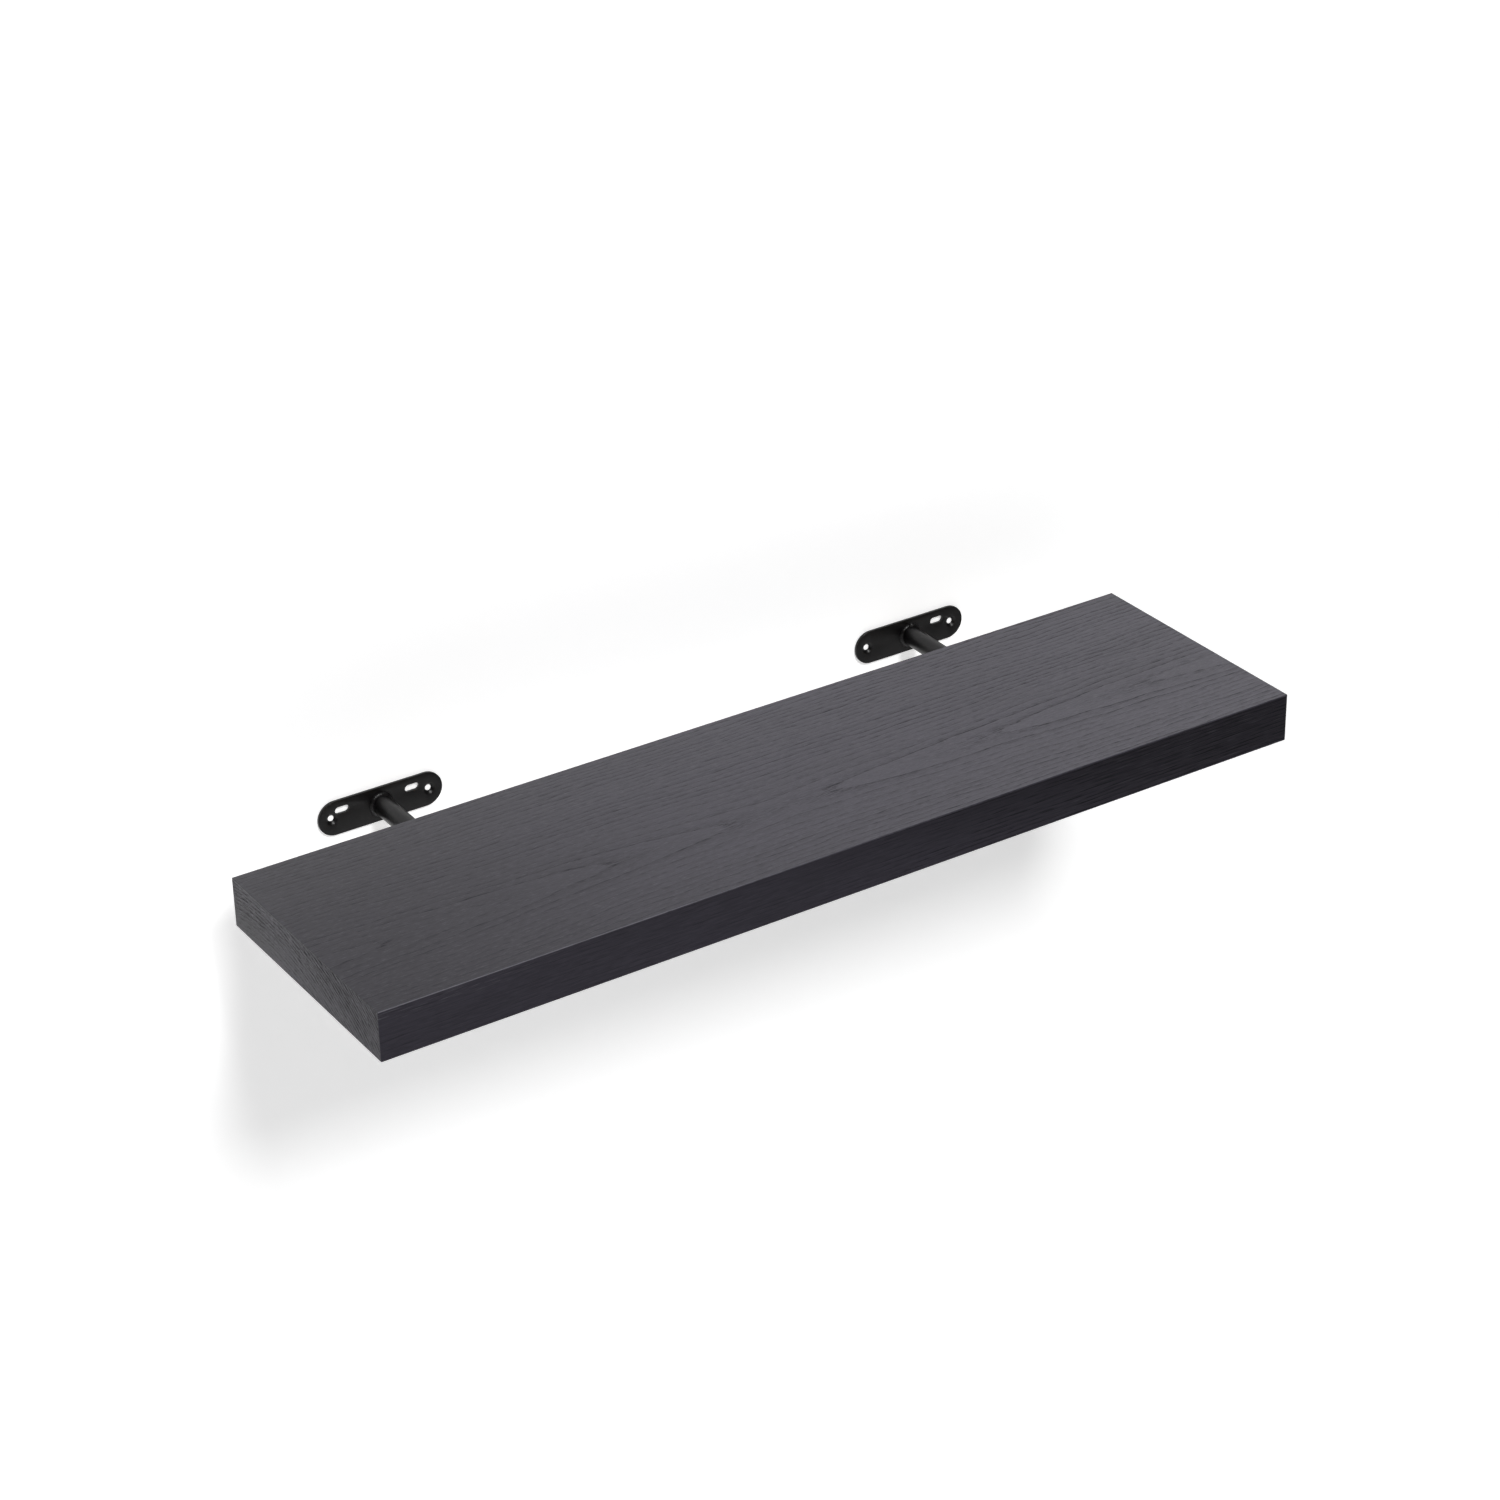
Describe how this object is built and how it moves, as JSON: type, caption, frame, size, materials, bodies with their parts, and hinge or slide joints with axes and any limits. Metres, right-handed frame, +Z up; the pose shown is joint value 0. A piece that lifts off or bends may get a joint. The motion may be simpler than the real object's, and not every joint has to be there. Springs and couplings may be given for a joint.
{
  "type": "wall shelf with brackets",
  "caption": "Floating wall shelf: a black stained veneered board that slides onto welded rod brackets with obround wall plates.",
  "frame": {"origin": "on the wall plane (the plates' back faces), midway between the brackets, at the height of the rod axes", "axes": "+X along the shelf to the right as seen from the room, +Y into the wall, +Z up"},
  "size_m": [0.8, 0.2885, 0.04],
  "materials": {
    "stained_veneer": "black stain on open-pore veneer, satin",
    "board_core": "raw board in the bores and pockets",
    "black_steel": "satin black powder coat"
  },
  "bodies": {
    "wall_brackets": {"left_plate": "black_steel", "left_rod": "black_steel", "left_weld": "black_steel", "right_plate": "black_steel", "right_rod": "black_steel", "right_weld": "black_steel"},
    "shelf": {"core_board": "board_core", "top_veneer": "stained_veneer", "bottom_veneer": "stained_veneer", "front_edge_band": "stained_veneer", "rear_edge_band": "stained_veneer", "left_edge_band": "stained_veneer", "right_edge_band": "stained_veneer"}
  },
  "joints": [
    {"name": "shelf_slide", "type": "slide", "parent": "wall_brackets", "child": "shelf", "axis": [0, 1, 0], "range_m": [-0.07, 0.0685]}
  ]
}
